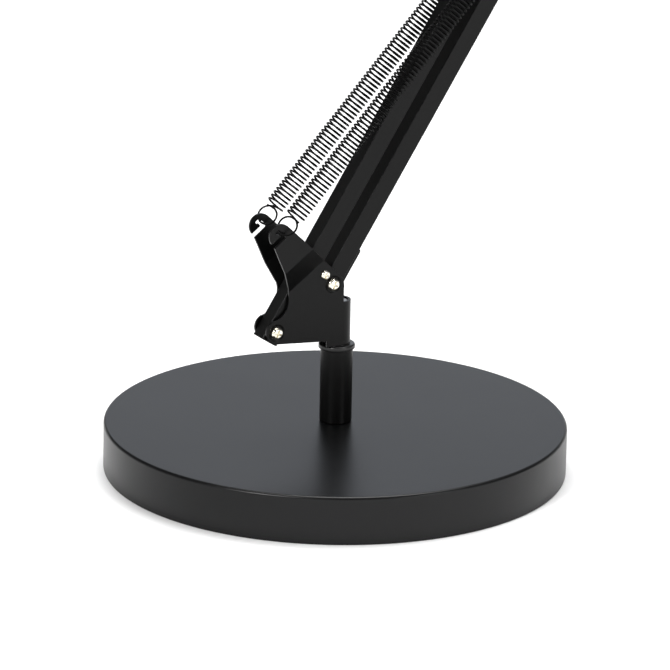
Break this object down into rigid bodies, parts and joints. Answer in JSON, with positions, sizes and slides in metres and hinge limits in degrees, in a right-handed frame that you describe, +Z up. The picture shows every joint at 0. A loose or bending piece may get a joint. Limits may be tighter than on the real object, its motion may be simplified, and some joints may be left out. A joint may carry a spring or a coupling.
{
  "type": "architect desk lamp",
  "caption": "Balanced-arm desk lamp on a round weighted base: swivel bracket, parallel square-tube arms, outside tension springs and a tilting metal shade.",
  "frame": {"origin": "centre of the base's underside, on the surface that the lamp stands on", "axes": "+Z up along the post; the arms lie in the XZ plane at rest and the lower arm leans towards +X; -Y is the near side with the screw heads"},
  "size_m": [0.4424, 0.23, 0.6177],
  "materials": {
    "powder_black": "satin black powder coat",
    "base_black": "fine satin black powder coat",
    "bright_zinc": "bright zinc plate",
    "spring_black": "black oxide spring wire",
    "plain_steel": "plain steel",
    "cast_iron": "rough cast",
    "zinc_block": "black painted zinc",
    "nylon": "black nylon",
    "foam": "closed-cell foam",
    "black_plastic": "fine-grained black plastic",
    "shade_paint": "satin black outside, white inside",
    "holder": "white thermoset",
    "brass": "plain brass",
    "bulb_opal": "opal plastic"
  },
  "bodies": {
    "base": {"base_shell": "base_black", "base_weight": "cast_iron", "base_pad": "foam", "post_sleeve": "powder_black", "post_plug": "plain_steel", "post_washer": "plain_steel", "post_bolt": "plain_steel", "post_bush": "nylon"},
    "swivel": {"swivel_pin": "plain_steel", "swivel_bracket": "powder_black", "shoulder_screws": "bright_zinc", "shoulder_nuts": "bright_zinc", "friction_screw": "bright_zinc"},
    "lower_rear_arm": {"lower_rear_bar": "powder_black", "lower_rear_bushes": "nylon", "stop_plate": "powder_black"},
    "lower_front_arm": {"lower_front_bar": "powder_black", "lower_front_bushes": "nylon", "lower_spring_pin": "spring_black", "lower_spring_clips": "spring_black"},
    "lower_springs": {"lower_spring_near": "spring_black", "lower_spring_far": "spring_black"},
    "elbow": {"elbow_plate_near": "powder_black", "elbow_plate_far": "powder_black", "elbow_screws": "bright_zinc", "elbow_nuts": "bright_zinc", "elbow_spring_pin": "spring_black", "elbow_spring_clips": "spring_black"},
    "upper_rear_arm": {"upper_rear_bar": "powder_black", "upper_rear_bushes": "nylon", "upper_spring_pin": "spring_black", "upper_spring_clips": "spring_black", "upper_spring_near": "spring_black", "upper_spring_far": "spring_black"},
    "upper_front_arm": {"upper_front_bar": "powder_black", "upper_front_bushes": "nylon"},
    "head_bracket": {"head_plate_near": "powder_black", "head_plate_far": "powder_black", "head_screws": "bright_zinc", "head_nuts": "bright_zinc", "head_block": "zinc_block", "block_screws": "bright_zinc"},
    "head_stem": {"head_stem": "powder_black", "stem_clip": "bright_zinc"},
    "shade": {"shade": "shade_paint", "shade_cap": "shade_paint", "shade_lug": "powder_black", "lug_screws": "bright_zinc", "tilt_bolt": "bright_zinc", "lampholder": "holder", "holder_ring": "holder", "holder_contact": "brass", "bulb_cap": "brass", "bulb_globe": "bulb_opal", "switch_body": "black_plastic", "cord_gland": "black_plastic"},
    "tilt_knob": {"tilt_knob": "black_plastic"},
    "switch_button": {"switch_button": "black_plastic"}
  },
  "joints": [
    {"name": "base_swivel", "type": "hinge", "parent": "base", "child": "swivel", "pos_m": [0, 0, 0.0645], "axis": [0, 0, 1], "continuous": true},
    {"name": "shoulder_tilt", "type": "hinge", "parent": "swivel", "child": "lower_rear_arm", "pos_m": [-0.006, 0, 0.0967], "axis": [0, 1, 0], "range_deg": [-60, 6]},
    {"name": "front_bar_tilt", "type": "hinge", "parent": "swivel", "child": "lower_front_arm", "pos_m": [-0.037, 0, 0.0758], "axis": [0, 1, 0], "range_deg": [-61, 7]},
    {"name": "lower_spring_swing", "type": "hinge", "parent": "swivel", "child": "lower_springs", "pos_m": [-0.0372, 0, 0.1276], "axis": [0, 1, 0], "range_deg": [-81, 9], "deforming": ["lower_spring_near", "lower_spring_far"]},
    {"name": "elbow_level", "type": "hinge", "parent": "lower_rear_arm", "child": "elbow", "pos_m": [0.18743, 0, 0.40032], "axis": [0, 1, 0], "range_deg": [-7, 61]},
    {"name": "elbow_tilt", "type": "hinge", "parent": "elbow", "child": "upper_rear_arm", "pos_m": [0.17403, 0, 0.41892], "axis": [0, 1, 0], "range_deg": [-42, 25], "deforming": ["upper_spring_near", "upper_spring_far"]},
    {"name": "upper_front_bar_tilt", "type": "hinge", "parent": "elbow", "child": "upper_front_arm", "pos_m": [0.16313, 0, 0.40212], "axis": [0, 1, 0], "range_deg": [-43, 26]},
    {"name": "head_level", "type": "hinge", "parent": "upper_rear_arm", "child": "head_bracket", "pos_m": [-0.13127, 0, 0.60969], "axis": [0, 1, 0], "range_deg": [-26, 43]},
    {"name": "head_turn", "type": "hinge", "parent": "head_bracket", "child": "head_stem", "pos_m": [-0.16217, 0, 0.59289], "axis": [0, 0, 1], "range_deg": [-90, 90]},
    {"name": "head_tilt", "type": "hinge", "parent": "head_stem", "child": "shade", "pos_m": [-0.16217, 0, 0.55889], "axis": [0, 1, 0], "range_deg": [-10, 60]},
    {"name": "tilt_knob_turn", "type": "hinge", "parent": "shade", "child": "tilt_knob", "pos_m": [-0.16217, -0.012, 0.55889], "axis": [0, 1, 0], "range_deg": [0, 180]},
    {"name": "switch_press", "type": "slide", "parent": "shade", "child": "switch_button", "axis": [0, -1, 0], "range_m": [0, 0.002], "stiffness_N_per_m": 500}
  ],
  "couplings": [
    {"joint": "front_bar_tilt", "follows": "shoulder_tilt", "ratio": 1},
    {"joint": "lower_spring_swing", "follows": "shoulder_tilt", "ratio": 1.31},
    {"joint": "elbow_level", "follows": "shoulder_tilt", "ratio": -1},
    {"joint": "upper_front_bar_tilt", "follows": "elbow_tilt", "ratio": 1},
    {"joint": "head_level", "follows": "elbow_tilt", "ratio": -1}
  ]
}
